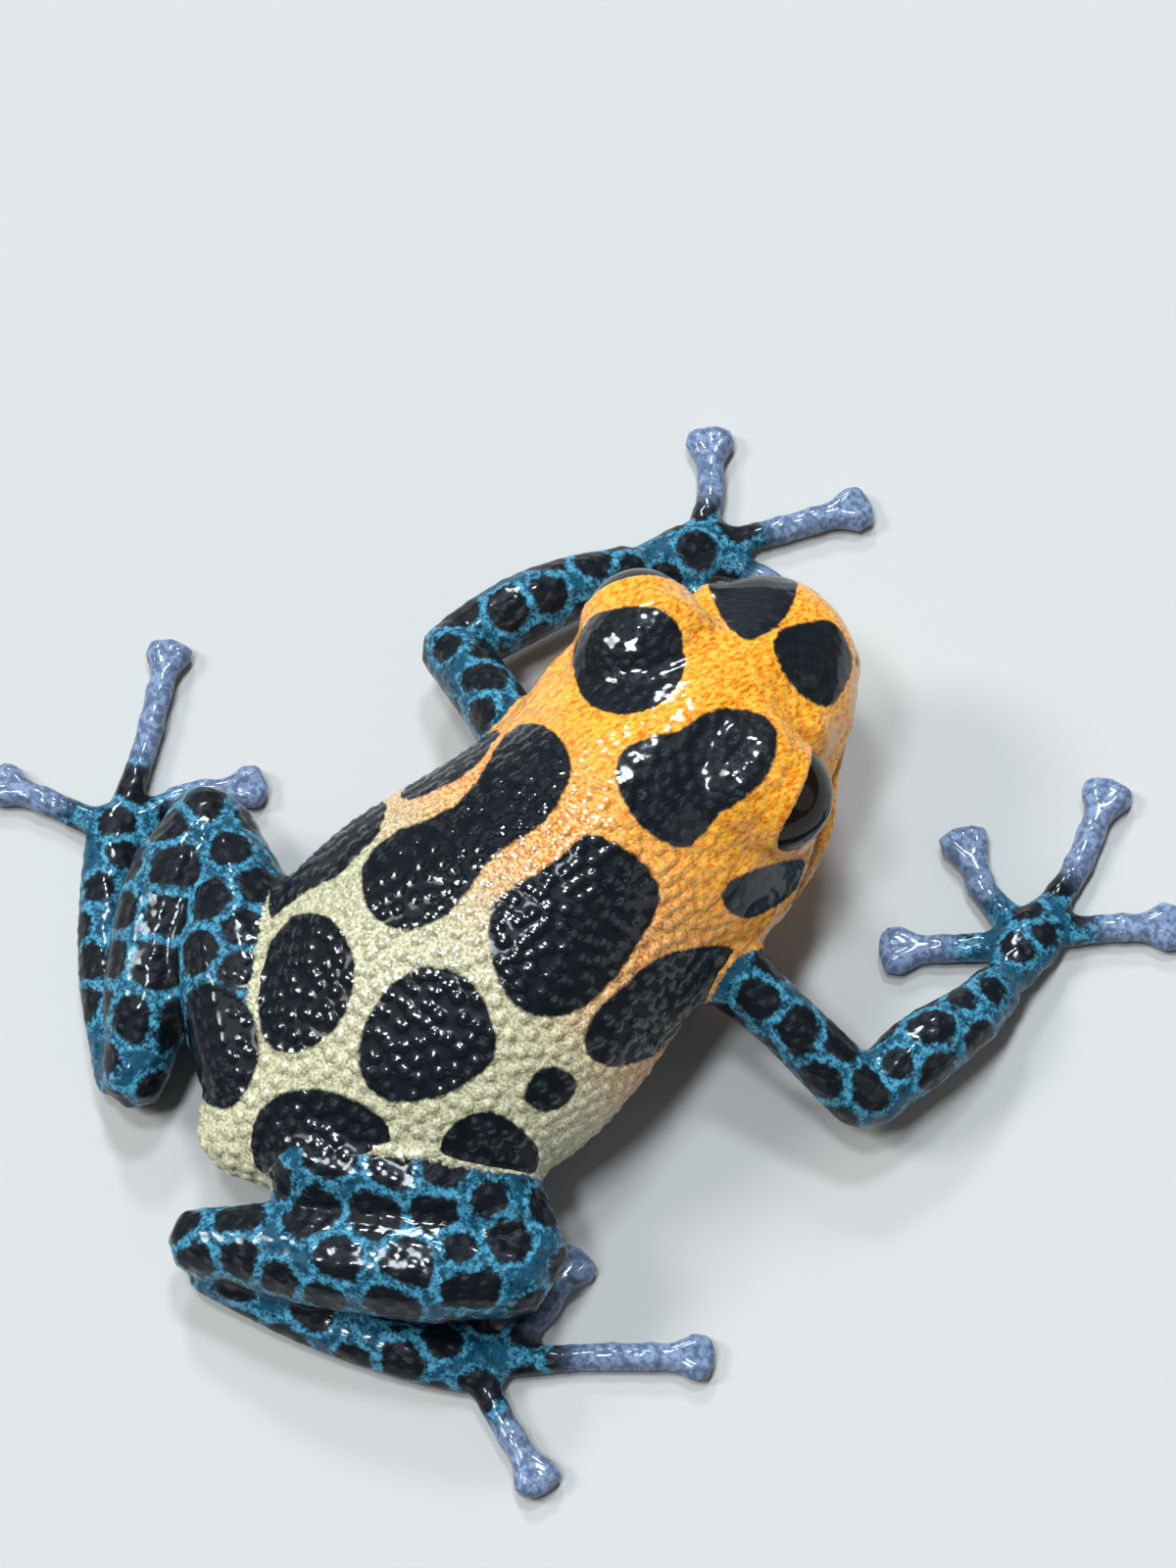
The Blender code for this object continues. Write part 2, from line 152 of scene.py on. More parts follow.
bpy.ops.object.select_all(action="DESELECT")
for cad in frame["nodes"].values():
    copy = bpy.data.objects.new("flesh", cad.data.copy())
    bpy.context.collection.objects.link(copy)
    copy.select_set(True)
    bpy.context.view_layer.objects.active = copy
bpy.ops.object.join()
skin = bpy.context.object
skin.name = "skin"
skin.data.transform(Matrix.Scale(1 / MM, 4))
bpy.ops.object.mode_set(mode="EDIT")
bpy.ops.mesh.select_all(action="SELECT")
bpy.ops.mesh.remove_doubles(threshold=WELD)
bpy.ops.object.mode_set(mode="OBJECT")
modify(skin, "DISPLACE", strength=SWELL, mid_level=0.0)
modify(skin, "REMESH", mode="VOXEL", voxel_size=VOXEL)
bpy.ops.object.mode_set(mode="EDIT")
bpy.ops.mesh.select_all(action="DESELECT")
bpy.ops.object.mode_set(mode="OBJECT")
max(skin.data.vertices, key=lambda v: v.co.z).select = True
bpy.ops.object.mode_set(mode="EDIT")
bpy.ops.mesh.select_linked()
bpy.ops.mesh.select_all(action="INVERT")
bpy.ops.mesh.delete(type="VERT")
bpy.ops.object.mode_set(mode="OBJECT")
print("melted skin", len(skin.data.vertices), "points")

# %% [markdown]
# ## Smooth the skin
#
# The solids are faceted and the remesh leaves steps. A plain smooth would melt the thin fingers
# away, so each round pulls the points in and then lets them out again, which keeps the volume.
# The points are handled as arrays from here on, with a few helpers that the later cells share.

# %% Smooth without shrinking
SMOOTH_ROUNDS = 24
TAKEN_BACK = 0.8  # of the swell, as the smoothing has already taken the rest


def points_of(obj):
    """The places of all points as an array."""
    found = np.zeros(len(obj.data.vertices) * 3, np.float32)
    obj.data.vertices.foreach_get("co", found)
    return found.reshape(-1, 3).astype(float)


def normals_of(obj):
    """The outward direction at every point."""
    found = np.zeros(len(obj.data.vertices) * 3, np.float32)
    obj.data.vertex_normals.foreach_get("vector", found)
    return found.reshape(-1, 3).astype(float)


def put_points(obj, points):
    """Moves all points to the places of an array."""
    obj.data.vertices.foreach_set("co", points.astype(np.float32).ravel())
    obj.data.update()


def neighbours_of(obj):
    """Both ends of every edge, each way round, and how many neighbours each point has."""
    edges = np.zeros(len(obj.data.edges) * 2, np.int32)
    obj.data.edges.foreach_get("vertices", edges)
    start = np.concatenate([edges[0::2], edges[1::2]])
    end = np.concatenate([edges[1::2], edges[0::2]])
    return start, end, np.bincount(start, minlength=len(obj.data.vertices)).astype(float)


FROM, TO, NEIGHBOURS = neighbours_of(skin)


def rise(values, low, high):
    """0 below low, 1 above high, with a soft slope between."""
    t = np.clip((values - low) / (high - low), 0, 1)
    return t * t * (3 - 2 * t)


def band(values, middle, wide):
    """1 in the middle, falling softly to 0 on both sides."""
    return np.exp(-((values - middle) / wide) ** 2)


def spread(values):
    """The mean of each point's neighbours, for one number or for a place per point."""
    if values.ndim == 1:
        return np.bincount(FROM, values[TO], len(NEIGHBOURS)) / NEIGHBOURS
    return np.stack([spread(column) for column in values.T], 1)


def relaxed(points, rounds, weight=1.0, steps=(0.6, -0.62)):
    """Points smoothed without shrinking: part of the way in, then a little more of it out."""
    weight = np.reshape(weight, (-1, 1))
    for _ in range(rounds):
        for step in steps:
            points = points + (spread(points) - points) * step * weight
    return points


def settled(points, rounds, weight):
    """Points drawn halfway to their neighbours each round, which fills creases and blunts corners."""
    return relaxed(points, rounds, weight, steps=(0.5,))


skin_points = relaxed(points_of(skin), SMOOTH_ROUNDS)
put_points(skin, skin_points)
skin_points = skin_points - normals_of(skin) * SWELL * TAKEN_BACK
print("smoothed to", skin_points.min(0).round(2), skin_points.max(0).round(2))

# %% [markdown]
# ## Cut the line of the mouth
#
# The remesh's squares don't follow the mouth, and a groove pressed into them would be toothed. The
# mouth runs almost straight from the snout's tip down to below the eye, so one slanting plane cuts
# it into the faces round the muzzle. The points of that cut are kept for the groove, and the value
# calm, which is 0 on the cut, lets later smoothing pass it by.

# %% Cut along the mouth
MOUTH_Y, MOUTH_Z, MOUTH_SLOPE = -9.5, 3.77, -0.185
MOUTH_END, THROAT_TOP = -6.7, 2.9
SLIVER = 0.02
put_points(skin, skin_points)
bpy.ops.object.mode_set(mode="EDIT")
bpy.ops.mesh.select_all(action="DESELECT")
bpy.ops.mesh.select_mode(type="FACE")
bpy.ops.object.mode_set(mode="OBJECT")
for face in skin.data.polygons:
    face.select = face.center.y < MOUTH_END and face.center.z > THROAT_TOP
bpy.ops.object.mode_set(mode="EDIT")
bpy.ops.mesh.bisect(plane_co=(0, MOUTH_Y, MOUTH_Z), plane_no=(0, -MOUTH_SLOPE, 1))
bpy.ops.mesh.select_mode(type="VERT")
bpy.ops.mesh.remove_doubles(threshold=SLIVER, use_unselected=True)
bpy.ops.object.mode_set(mode="OBJECT")
CUT = np.array([v.select for v in skin.data.vertices])
FROM, TO, NEIGHBOURS = neighbours_of(skin)
skin_points = points_of(skin)
mouth_z = MOUTH_Z + MOUTH_SLOPE * (skin_points[:, 1] - MOUTH_Y)
behind_mouth = 2 * rise(skin_points[:, 1], MOUTH_END, MOUTH_END + 1)
calm = rise(np.abs(skin_points[:, 2] - mouth_z) + behind_mouth, 0.1, 0.5)
print("mouth line of", CUT.sum(), "points")

# %% [markdown]
# ## Where each part of the skin lies
#
# The skin needs to know whether a point belongs to the body, a limb or a digit. The frame's nodes
# know it, so each point measures its way to the nearest body, limb and digit solid. That needs no
# painting by hand and follows any change of the solids. Numbers from 0 to 1 with soft edges come out,
# which both the shaping and the material use. Where a limb meets the body the skin is also drawn
# together, which rounds the crease as flesh does.

# %% Measure the way to body, limbs and digits
BODY = ("head", "trunk", "eye")
LIMBS = ("upper", "fore", "thigh", "shank", "hand", "foot")
DIGITS = ("finger", "toe")
FILLET_REACH, FILLET_ROUNDS = 0.4, 30


def way_to(points, wanted):
    """How far each point is from the nearest CAD node whose name starts with one of the words."""
    corners, faces = [], []
    for name, cad in frame["nodes"].items():
        if name.startswith(wanted):
            start = len(corners)
            corners += [v.co / MM for v in cad.data.vertices]
            faces += [[start + i for i in p.vertices] for p in cad.data.polygons]
    tree = BVHTree.FromPolygons(corners, faces)
    return np.array([tree.find_nearest(p)[3] for p in points.tolist()])


to_body = way_to(skin_points, BODY)
to_limb = way_to(skin_points, LIMBS + DIGITS)
to_digit = way_to(skin_points, DIGITS)
to_rest = way_to(skin_points, LIMBS)
limb = rise(to_body - to_limb, -0.15, 0.5)
digit = rise(to_rest - to_digit, -0.4, 0.5)
joint = band(to_body - to_limb, 0, FILLET_REACH) * rise(skin_points[:, 2], 0.2, 0.5)
skin_points = settled(skin_points, FILLET_ROUNDS, joint)
print("limb share", round(limb.mean(), 2), "digit share", round(digit.mean(), 2))

# %% [markdown]
# ## Fill out the head
#
# The photo's outline of the head is a little fuller than the solids give: the cheeks bulge beside
# the eyes, the ridge between lid and snout is round, and the brow between the lids is nearly as high
# as the lids. Broad soft pushes do this while the skin is still smooth, and the rump's end, which the
# solid leaves square, is rounded off in the same cell.

# %% Broad pushes on the head and rump


def tree_of(places):
    """A search tree that finds the nearest of the places."""
    tree = KDTree(len(places))
    for i, place in enumerate(places):
        tree.insert(place, i)
    tree.balance()
    return tree


def bump_at(points, centre, size):
    """1 at the centre, falling softly to 0 about two sizes away."""
    return np.exp(-(((points - np.array(centre)) / size) ** 2).sum(1))


CHEEK, CHEEK_SIZE = 0.4, (0.9, 1.5, 0.8)
BROAD_PUSHES = (
    (0.28, (2.7, -9.9, 4.9), (0.9, 1.2, 0.7)), (0.2, (0.7, -7.9, 5.6), (0.9, 1.7, 0.9)),
    (0.22, (3.7, -6.7, 4.8), (1.0, 1.1, 0.9)), (0.22, (-2.5, -6.3, 4.8), (1.0, 1.1, 0.9)),
    (CHEEK, (4.2, -8.8, 3.7), CHEEK_SIZE), (CHEEK, (-2.8, -8.8, 3.7), CHEEK_SIZE),
)
SNOUT_LEFT, SNOUT_UP = 0.2, 0.12
HEAD_ROUNDS, RUMP_ROUNDS = 10, 40
put_points(skin, skin_points)
skin_normals = normals_of(skin)
for amount, centre, size in BROAD_PUSHES:
    push = amount * (1 - limb) * bump_at(skin_points, centre, size)
    skin_points = skin_points + skin_normals * push[:, None]
snout = rise(-skin_points[:, 1], 8.8, 11.2) * (1 - limb)
skin_points[:, 0] += SNOUT_LEFT * snout
skin_points[:, 2] += SNOUT_UP * snout * rise(skin_points[:, 2], 3.5, 4.8)
on_head = calm * (1 - limb) * rise(-skin_points[:, 1], 5.5, 7.5)
skin_points = relaxed(skin_points, HEAD_ROUNDS, on_head)
vent = rise(skin_points[:, 1], 5.2, 6.3) * (1 - limb)
skin_points = settled(skin_points, RUMP_ROUNDS, vent)
print("head filled out")

# %% [markdown]
# ## Place the eyes
#
# Each eyeball is as large as its solid and sits a little further out and ahead, where the photo shows
# it. Its axis looks out to the side, somewhat ahead and up, and the lids open round that axis.

# %% Give each eye a centre and an axis
HEAD_TURN = math.radians(5)
EYE_OUT, EYE_AHEAD, EYE_UP = 0.955, 0.6, 0.26
EYE_SHIFT_OUT, EYE_SHIFT_AHEAD, EYE_SHIFT_UP = 0.1, 0.15, 0.15
BRIDGE_AHEAD, BRIDGE_IN = 1.43, 0.26
eyes = {}
for side, name in ((1, "eye_left"), (-1, "eye_right")):
    low, high = (np.array(corner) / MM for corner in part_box(name))
    out = np.array([side * math.cos(HEAD_TURN), -side * math.sin(HEAD_TURN), 0])
    ahead = np.array([math.sin(HEAD_TURN), -math.cos(HEAD_TURN), 0])
    axis = out * EYE_OUT + ahead * EYE_AHEAD + np.array([0, 0, EYE_UP])
    axis /= np.linalg.norm(axis)
    along = np.cross(axis, (0, 0, 1))
    along /= np.linalg.norm(along)
    up = np.cross(along, axis)
    centre = (low + high) / 2 + out * EYE_SHIFT_OUT + ahead * EYE_SHIFT_AHEAD
    eyes[name] = {
        "centre": centre + np.array([0, 0, EYE_SHIFT_UP]),
        "radius": (high - low).max() / 2,
        "axis": axis,
        "along": along,
        "up": up * np.sign(up[2]),
        "front": ahead * BRIDGE_AHEAD - out * BRIDGE_IN,
    }
    print(name, "looks along", axis.round(2))

# %% [markdown]
# ## Open the lids round the eyes
#
# A frog's eye bulges out between an upper lid like a hood and a thin lower one. The melted skin
# covers the eyeball, so the points that lie over it are pushed just below its surface, in an oval
# round the eye's axis. The points round the oval rise into the lids' thick edge, and a shallow fold
# runs behind it.

# %% Shape the eye openings
OPEN_ALONG, OPEN_UP, OPEN_DOWN = math.radians(72), math.radians(49), math.radians(52)
LID_EDGE, LOWER_LID, SUNK = 0.085, 0.55, 0.16
HOOD_WIDE, LOWER_LID_WIDE = 0.85, 0.5
EDGE_AT, EDGE_WIDE, FOLD_AT, FOLD_WIDE = 0.1, 0.13, 0.34, 0.07  # past the opening, in its own radii
LIDS_END, LID_ROUNDS = (2.1, 3.0), 18
lid, fold, round_eye = (np.zeros(len(skin_points)) for _ in range(3))
for eye in eyes.values():
    offset = skin_points - eye["centre"]
    reach = np.linalg.norm(offset, axis=1)
    way = offset / reach[:, None]
    angle = np.arccos(np.clip(way @ eye["axis"], -1, 1))
    sideways, upward = way @ eye["along"], way @ eye["up"]
    turn = np.arctan2(upward, sideways)
    high = np.where(upward > 0, OPEN_UP, OPEN_DOWN)
    limit = OPEN_ALONG * high / np.sqrt((high * np.cos(turn)) ** 2 + (OPEN_ALONG * np.sin(turn)) ** 2)
    past = (angle - limit) / limit
    near = reach < eye["radius"] + 1.2
    edge = band(past, EDGE_AT, EDGE_WIDE) * near * (past > -0.4)
    hood = np.where(upward > 0, 1.0, LOWER_LID)
    sunk = eye["radius"] - SUNK
    thin = eye["radius"] + LID_EDGE * hood
    wanted = sunk + (thin - sunk) * rise(past, -0.16, 0.0)
    full = np.where(upward > 0, HOOD_WIDE, LOWER_LID_WIDE)
    wanted = np.where(past >= 0, thin + (reach - thin) * rise(past / full, 0.05, 1.0), wanted)
    wanted = wanted + (reach - wanted) * rise(reach, *LIDS_END)
    skin_points = eye["centre"] + way * wanted[:, None]
    lid = np.maximum(lid, edge)
    fold_deep = near * np.where(upward > 0.1, 0.3, 0.8)
    fold = np.maximum(fold, band(past, FOLD_AT, FOLD_WIDE) * fold_deep)
    round_eye = np.maximum(round_eye, rise(past, 0.06, 0.25) * (1 - rise(reach, 2.4, 3.2)))
skin_points = relaxed(skin_points, LID_ROUNDS, calm * round_eye)
print("lid points", int((lid > 0.5).sum()))

# %% [markdown]
# ## Straighten the line of the mouth
#
# Filling out the head has bent the cut a little. Each point of the muzzle looks up the nearest point
# of the cut and moves up or down by as much as that one is off the line. A few rounds of smoothing
# even out the faces there. The value level then tells how far above the mouth each point lies, and
# gape is 1 where the mouth can be seen and fades out below the eye.

# %% Bring the cut back to its line
BEND_REACH, LOOSE_REACH, LOOSE_ROUNDS = 0.5, 0.7, 14
x, y, z = skin_points.T
body = 1 - limb
muzzle = rise(-y, 5.9, 7.0)
gape = rise(-y, 6.7, 7.4) * body
line_tree = tree_of(skin_points[CUT].tolist())
on_line = np.array([line_tree.find(p)[0] for p in skin_points.tolist()])
level = z - on_line[:, 2]
bent = MOUTH_Z + MOUTH_SLOPE * (on_line[:, 1] - MOUTH_Y) - on_line[:, 2]
skin_points[:, 2] += bent * band(level, 0, BEND_REACH) * muzzle * body
loose = band(level, 0, LOOSE_REACH) * muzzle * body * np.where(CUT, 0.5, 1.0)
skin_points = relaxed(skin_points, LOOSE_ROUNDS, loose)
x, y, z = skin_points.T
level = z - on_line[:, 2] - bent
print("bent by up to", round(float(np.abs(bent[CUT]).max()), 2), "mm")

# %% [markdown]
# ## Nostrils, mouth and folds
#
# The mouth closes along its line, seen as a fine groove under a thin lip. The nostrils are small pits
# high on the snout, the face hollows a little between nostril and eye, a bridge leads from the snout
# to each lid, and an eardrum lies behind the eye. All are small pushes along the skin's own
# direction, and where they have folded the skin over, it is ironed out again.

# %% Sculpt the head
MOUTH_DEEP, MOUTH_WIDE = 0.17, 0.075
JAW_BACK, JAW_AT, JAW_WIDE = 0.07, -0.3, 0.25
LIP, LIP_AT, LIP_WIDE = 0.035, 0.22, 0.14
BRIDGE, BRIDGE_UP, BRIDGE_SIZE, BRIDGE_ROUNDS = 0.35, 0.15, 0.5, 6
SNOUT_X, NOSTRIL_OUT, NOSTRIL_Y, NOSTRIL_Z = 1.05, 1.3, -11.35, 4.62
NOSTRIL_DEEP, NOSTRIL_RIM = 0.16, 0.05
HOLLOW, HOLLOW_OUT, HOLLOW_Y, HOLLOW_Z, HOLLOW_SIZE = 0.06, 2.2, -9.9, 4.3, (0.8, 0.7, 0.4)
DRUM_X, DRUM_OUT, DRUM_Y, DRUM_Z = 0.35, 3.6, -5.95, 4.1
DRUM_RIM, DRUM_RADIUS, DRUM_RIM_WIDE = 0.04, 0.55, 0.14
FOLD_DEEP = 0.045
FOLDED, IRON_ROUNDS = 0.45, 12
put_points(skin, skin_points)
skin_normals = normals_of(skin)
mouth = gape * band(level, 0, MOUTH_WIDE)
push = -MOUTH_DEEP * mouth - JAW_BACK * gape * band(level, JAW_AT, JAW_WIDE)
push += LIP * gape * band(level, LIP_AT, LIP_WIDE)
pit = np.zeros(len(x))
drum = np.zeros(len(x))
for side in (1, -1):
    nostril = np.array((SNOUT_X + side * NOSTRIL_OUT, NOSTRIL_Y, NOSTRIL_Z))
    nostril = skin_points[np.argmin(((skin_points - nostril) ** 2).sum(1))]
    pit = np.maximum(pit, bump_at(skin_points, nostril, 0.13))
    push += NOSTRIL_RIM * bump_at(skin_points, nostril, 0.3)
    hollow = (SNOUT_X + side * HOLLOW_OUT, HOLLOW_Y, HOLLOW_Z)
    push -= HOLLOW * bump_at(skin_points, hollow, HOLLOW_SIZE)
    centre = np.array((DRUM_X + side * DRUM_OUT, DRUM_Y, DRUM_Z))
    away = np.linalg.norm(skin_points - centre, axis=1)
    drum = np.maximum(drum, band(away, DRUM_RADIUS, DRUM_RIM_WIDE) * (away < 1.2))
bridge = np.zeros(len(x))
for eye in eyes.values():
    clear = np.linalg.norm(skin_points - eye["centre"], axis=1) - eye["radius"]
    before_lid = eye["centre"] + eye["front"] + np.array([0, 0, BRIDGE_UP])
    bridge += bump_at(skin_points, before_lid, BRIDGE_SIZE) * rise(clear, 0.15, 0.5)
push += BRIDGE * bridge
push -= NOSTRIL_DEEP * pit
push += DRUM_RIM * drum
push -= FOLD_DEEP * fold
evened = np.clip(1.5 * bridge, 0.2 * loose, 1)
skin_points = relaxed(skin_points + skin_normals * push[:, None], BRIDGE_ROUNDS, evened)
put_points(skin, skin_points)
skin_normals = normals_of(skin)
folded = ((spread(skin_normals) * skin_normals).sum(1) < FOLDED).astype(float)
print("ironed out", int(folded.sum()), "points")
for _ in range(3):
    folded = np.maximum(folded, spread(folded))
skin_points = relaxed(skin_points, IRON_ROUNDS, np.minimum(2 * folded, 1))
print("mouth line", int((mouth > 0.5).sum()), "pit", int((pit > 0.5).sum()))

# %% [markdown]
# ## Finger and toe discs
#
# Each digit ends in a flat sticking pad, wider than the digit and cut off square, with two scutes
# side by side on top. The end of each digit's node says where its pad lies and which way it points.
# The skin there is spread sideways, squared off and grooved along its middle, and two low knuckles
# swell the digit behind it.

# %% Spread the discs
DISC_LONG, DISC_REACH = 0.85, 0.4
DISC_WIDEN, DISC_SQUARE = 0.42, 0.12
GROOVE_DEEP, GROOVE_WIDE = 0.08, 0.09
SCUTE_HIGH, SCUTE_AT, SCUTE_WIDE = 0.04, 0.22, 0.12
KNUCKLES_BACK, KNUCKLE_LONG, KNUCKLE, KNUCKLE_HIGH = (1.05, 1.85), 0.17, 0.09, 0.03
DIGIT_BACK, DIGIT_AHEAD, DIGIT_BESIDE, DIGIT_TOP = 2.4, 1.3, 0.7, 1.2
PALMS = {"finger": "hand_", "toe": "foot_"}


def corners_of(name):
    """The corners of a CAD node in millimetres."""
    return np.array([v.co / MM for v in frame["nodes"][name].data.vertices])


for name in frame["nodes"]:
    if not name.startswith(DIGITS):
        continue
    kind, side = name.split("_")[:2]
    corners = corners_of(name)
    palm = tree_of(corners_of(PALMS[kind] + side))
    base = corners[np.argmin([palm.find(c)[2] for c in corners])]
    tip = corners[np.argmax(((corners - base) ** 2).sum(1))]
    far = (corners - base) @ (tip - base) / np.linalg.norm(tip - base)
    end = corners[far > far.max() - DISC_LONG].mean(0)
    shaft = corners[(far < far.max() - 1.2) & (far > far.max() - 2.2)]
    ahead = end - (shaft.mean(0) if len(shaft) else base)
    ahead[2] = 0
    ahead /= np.linalg.norm(ahead)
    across = np.array([-ahead[1], ahead[0], 0])
    offset = skin_points - end
    forth, beside = offset @ ahead, offset @ across
    here = (forth > -DIGIT_BACK) & (forth < DIGIT_AHEAD) & (np.abs(beside) < DIGIT_BESIDE)
    here = here & (skin_points[:, 2] < DIGIT_TOP) & (digit > 0.5)
    wide = band(forth, 0, DISC_REACH) * here
    knuckle = sum(band(forth, -back, KNUCKLE_LONG) for back in KNUCKLES_BACK)
    knuckle = knuckle * here * (np.abs(beside) < 0.5)
    square = DISC_SQUARE * wide * np.clip(np.abs(beside) / 0.35, 0, 1) ** 2 * (forth > 0)
    spread_out = (DISC_WIDEN * wide + KNUCKLE * knuckle) * beside
    skin_points += across * spread_out[:, None] + ahead * square[:, None]
    top = wide * (skin_points[:, 2] > 0.35)
    scutes = band(np.abs(beside), SCUTE_AT, SCUTE_WIDE)
    skin_points[:, 2] -= GROOVE_DEEP * top * band(beside, 0, GROOVE_WIDE)
    skin_points[:, 2] += SCUTE_HIGH * top * scutes + KNUCKLE_HIGH * knuckle
print("discs widened")

# %% [markdown]
# ## Grains
#
# The back is set with low round grains about a third of a millimetre apart, which catch the light
# as wet beads. They are spread at random but never closer than their own width, as dart throwing
# gives, and each one lifts the skin into a small dome. The limbs have smaller, flatter ones.

# %% Raise the grains
GRAIN_APART, BELLY_APART, HEAD_CLOSER = 0.3, 0.06, 0.06
GRAIN_HIGH, LIMB_GRAIN_HIGH, LEAST_HIGH = 0.05, 0.02, 0.004
GRAIN_WIDE = 0.52  # of the spacing, from the middle of a grain to its edge
NEXT_CELLS = [(a, b, c) for a in (-1, 0, 1) for b in (-1, 0, 1) for c in (-1, 0, 1)]
put_points(skin, skin_points)
skin_normals = normals_of(skin)
base_points, base_normals = skin_points.copy(), skin_normals
head = rise(-y, 3.2, 6.0) * body
under = rise(-skin_normals[:, 2], -0.05, 0.55)
apart = GRAIN_APART + BELLY_APART * under * body - HEAD_CLOSER * head
height = GRAIN_HIGH * body * (1 - 0.6 * head) + LIMB_GRAIN_HIGH * limb
height = height * (1 - 0.6 * digit) * (1 - 0.5 * under)


def scattered(points, spacing, allowed):
    """Point numbers spread at random, none closer to another than the spacing there."""
    cells, chosen = {}, []
    order = np.flatnonzero(allowed).tolist()
    RANDOM.shuffle(order)
    step = float(spacing.max())
    places = points.tolist()
    for i in order:
        p = places[i]
        cell = tuple(int(c // step) for c in p)
        gap = spacing[i] ** 2
        around = [cells.get((cell[0] + a, cell[1] + b, cell[2] + c), ()) for a, b, c in NEXT_CELLS]
        around = [q for group in around for q in group]
        if all((p[0] - q[0]) ** 2 + (p[1] - q[1]) ** 2 + (p[2] - q[2]) ** 2 > gap for q in around):
            cells.setdefault(cell, []).append(p)
            chosen.append(i)
    return chosen


grains = scattered(skin_points, apart, height > LEAST_HIGH)
grain_tree = tree_of(skin_points[grains].tolist())
found = [grain_tree.find(p) for p in skin_points.tolist()]
to_grain = np.array([f[2] for f in found])
grain_way = skin_points - np.array([f[0] for f in found])
dome = np.clip(1 - (to_grain / (GRAIN_WIDE * apart)) ** 2, 0, 1)
keep = 1 - np.clip(lid + mouth + pit + drum, 0, 1)
skin_points = skin_points + skin_normals * (height * dome * keep)[:, None]
skin_points[:, 2] = np.maximum(skin_points[:, 2], 0.0)
put_points(skin, skin_points)
print("grains", len(grains))

# %% [markdown]
# ## The blotches of the back and head
#
# Each dark blotch of the photo is an outline of a few points in the photo's pixels, joined by a
# smooth curve. A point of the skin reads its own distance to the curve, below zero inside, so the
# material can draw a crisp edge at any size. A painted image would need far more data and would
# blur close up.

# %% Outlines in the photo's pixels
BLOTCHES = {
    "snout, left": (
        (724, 575), (728, 612), (742, 638), (760, 653), (780, 648), (798, 634), (812, 607),
        (806, 572),
    ),
    "snout, right": (
        (789, 662), (797, 643), (818, 636), (845, 633), (860, 647), (870, 675), (862, 702),
        (846, 721), (822, 713), (803, 694),
    ),
    "left lid": (
        (582, 660), (589, 640), (605, 628), (630, 621), (655, 618), (680, 625), (695, 645),
        (698, 685), (681, 714), (655, 728), (628, 729), (604, 721), (590, 703),
    ),
    "right lid": (
        (723, 726), (750, 723), (777, 729), (792, 745), (791, 772), (779, 797), (758, 816),
        (735, 831), (717, 852), (700, 866), (680, 861), (655, 844), (636, 817), (628, 790),
        (636, 766), (660, 753), (692, 745),
    ),
    "right ear": (
        (736, 916), (742, 902), (765, 889), (800, 879), (822, 878), (814, 904), (792, 925),
        (762, 937), (743, 929),
    ),
    "back, left": (
        (540, 738), (562, 745), (578, 763), (583, 787), (574, 812), (558, 836), (538, 852),
        (515, 866), (495, 885), (480, 906), (463, 927), (443, 941), (418, 949), (394, 944),
        (377, 929), (370, 908), (371, 885), (384, 864), (405, 849), (432, 838), (461, 824),
        (484, 801), (500, 775), (516, 750),
    ),
    "back, right": (
        (598, 852), (630, 862), (656, 880), (672, 904), (670, 931), (656, 956), (640, 981),
        (620, 1006), (598, 1026), (573, 1037), (545, 1037), (524, 1025), (510, 1004), (501, 975),
        (500, 935), (514, 913), (540, 895), (566, 879),
    ),
    "rump, middle": (
        (440, 986), (478, 999), (499, 1033), (507, 1070), (490, 1096), (450, 1119), (402, 1125),
        (375, 1109), (366, 1080), (371, 1049), (390, 1015), (414, 995),
    ),
    "rump, left": (
        (310, 932), (335, 936), (353, 956), (362, 986), (358, 1020), (346, 1045), (325, 1065),
        (301, 1075), (279, 1070), (266, 1051), (262, 1020), (266, 988), (278, 960), (292, 941),
    ),
    "rear": (
        (290, 1115), (330, 1112), (366, 1125), (391, 1141), (403, 1166), (405, 1192), (388, 1212),
        (300, 1218), (258, 1204), (247, 1180), (252, 1154), (268, 1130),
    ),
    "left hip": (
        (245, 1018), (260, 1040), (264, 1078), (253, 1112), (234, 1131), (212, 1126), (196, 1102),
        (190, 1060), (195, 1020), (215, 1002),
    ),
    "left flank": (
        (392, 815), (388, 847), (368, 871), (343, 895), (311, 911), (281, 935), (250, 955),
        (238, 938), (243, 910), (264, 884), (300, 858), (345, 828),
    ),
    "left shoulder": (
        (512, 745), (485, 782), (458, 801), (430, 813), (412, 816), (410, 798), (455, 765),
        (498, 738),
    ),
    "right flank": (
        (735, 965), (755, 972), (752, 990), (731, 1014), (710, 1042), (684, 1068), (652, 1083),
        (620, 1088), (599, 1075), (597, 1054), (610, 1030), (636, 1005), (661, 984), (692, 970),
    ),
    "right flank, rear": (
        (548, 1092), (572, 1090), (588, 1103), (580, 1125), (555, 1135), (534, 1120),
    ),
    "right rump": (
        (470, 1140), (505, 1135), (540, 1160), (560, 1200), (540, 1215), (500, 1208), (455, 1195),
        (445, 1165),
    ),
}


def closed_curve(corners, steps=6):
    """A smooth closed line through the corners."""
    corner = np.array(corners, float)
    before, after, beyond = (np.roll(corner, step, 0) for step in (1, -1, -2))
    first = after - before
    second = 2 * before - 5 * corner + 4 * after - beyond
    third = 3 * corner - before - 3 * after + beyond
    line = []
    for t in np.arange(steps) / steps:
        line.append(0.5 * (2 * corner + first * t + second * t ** 2 + third * t ** 3))
    return np.stack(line, 1).reshape(-1, 2)


